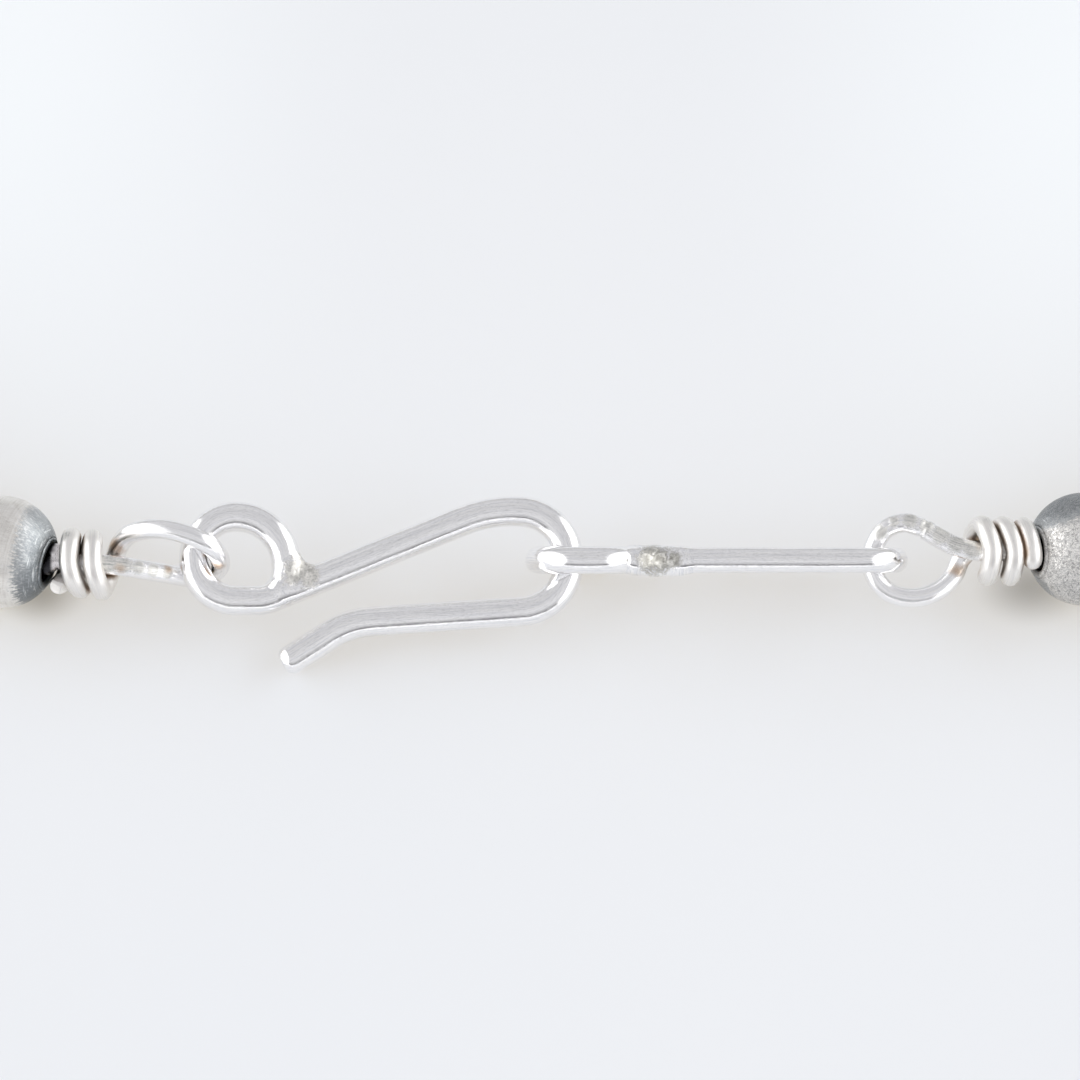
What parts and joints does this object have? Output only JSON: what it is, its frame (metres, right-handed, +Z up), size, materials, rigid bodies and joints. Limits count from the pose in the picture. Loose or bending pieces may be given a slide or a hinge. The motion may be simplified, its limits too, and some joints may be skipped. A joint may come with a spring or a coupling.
{
  "type": "silver bead necklace",
  "caption": "Necklace of hollow round silver beads on a foxtail chain, with wrapped wire loops and a hook and link clasp, lying closed as one loop.",
  "frame": {"origin": "on the surface that the necklace lies on, under the middle of its loop", "axes": "+X along the clasp from the hook's eye to the link, +Y across the loop from the clasp to the middle of the far side, +Z up from the surface"},
  "size_m": [0.1478, 0.112, 0.0084],
  "materials": {
    "bead_silver": "oxidised silver with satin wear, darkest round the holes",
    "clasp_silver": "polished silver wire with fine drawn lines",
    "chain_silver": "satin foxtail chain"
  },
  "bodies": {
    "root": {"bead_01": "bead_silver", "bead_02": "bead_silver", "bead_03": "bead_silver", "bead_04": "bead_silver", "bead_05": "bead_silver", "bead_06": "bead_silver", "bead_07": "bead_silver", "bead_08": "bead_silver", "bead_09": "bead_silver", "bead_10": "bead_silver", "bead_11": "bead_silver", "bead_12": "bead_silver", "bead_13": "bead_silver", "bead_14": "bead_silver", "bead_15": "bead_silver", "bead_16": "bead_silver", "bead_17": "bead_silver", "bead_18": "bead_silver", "bead_19": "bead_silver", "bead_20": "bead_silver", "bead_21": "bead_silver", "bead_22": "bead_silver", "bead_23": "bead_silver", "bead_24": "bead_silver", "bead_25": "bead_silver", "bead_26": "bead_silver", "bead_27": "bead_silver", "bead_28": "bead_silver", "bead_29": "bead_silver", "bead_30": "bead_silver", "bead_31": "bead_silver", "bead_32": "bead_silver", "bead_33": "bead_silver", "bead_34": "bead_silver", "bead_35": "bead_silver", "bead_36": "bead_silver", "bead_37": "bead_silver", "bead_38": "bead_silver", "bead_39": "bead_silver", "bead_40": "bead_silver", "bead_41": "bead_silver", "bead_42": "bead_silver", "strand": "chain_silver", "wrapped_loop_left": "clasp_silver", "wrapped_loop_right": "clasp_silver", "hook": "clasp_silver", "link": "clasp_silver"}
  },
  "joints": []
}
